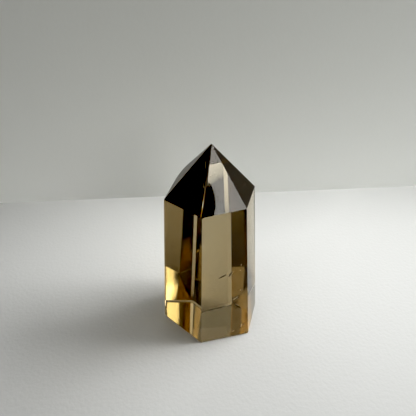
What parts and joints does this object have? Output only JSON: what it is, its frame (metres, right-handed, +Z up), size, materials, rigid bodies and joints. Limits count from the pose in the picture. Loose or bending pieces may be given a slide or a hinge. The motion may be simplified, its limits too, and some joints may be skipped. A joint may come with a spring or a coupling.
{
  "type": "smoky quartz tower",
  "caption": "Polished smoky quartz crystal tower: tapered prism with flat sides, off-centre pointed tip and a flat base that it stands on.",
  "frame": {"origin": "middle of the bounding box on the plane that the tower stands on", "axes": "+Z up through the tip, -Y towards the front side, +X to the right as seen from the front"},
  "size_m": [0.0312, 0.0276, 0.0648],
  "materials": {
    "smoky_quartz": "clear smoky brown quartz with a hand-polished gloss"
  },
  "bodies": {
    "root": {"smoky_quartz_tower": "smoky_quartz"}
  },
  "joints": []
}
